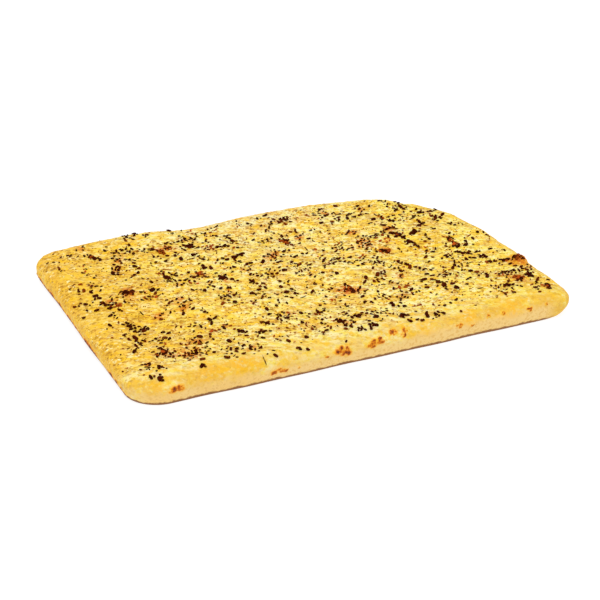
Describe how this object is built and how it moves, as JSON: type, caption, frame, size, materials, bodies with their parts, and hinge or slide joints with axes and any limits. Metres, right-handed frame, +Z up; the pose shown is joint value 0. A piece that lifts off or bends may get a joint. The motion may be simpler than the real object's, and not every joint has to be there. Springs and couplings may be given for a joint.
{
  "type": "rosemary focaccia",
  "caption": "Flat rectangular slab of golden flatbread with rounded corners, soft rolled edges and chopped rosemary baked into its gently wavy top.",
  "frame": {"origin": "middle of the flat underside", "axes": "+X along the slab's length, +Y across its width towards the side with the broadly rounded corner, +Z up through the crust"},
  "size_m": [0.3806, 0.264, 0.0249],
  "materials": {
    "crust": "baked golden bread crust, matte with a faint oily sheen, paler on the side wall and browner at the shoulder and underside",
    "rosemary": "dried chopped rosemary, dark brown, dull"
  },
  "bodies": {
    "root": {"focaccia": "crust"}
  },
  "joints": []
}
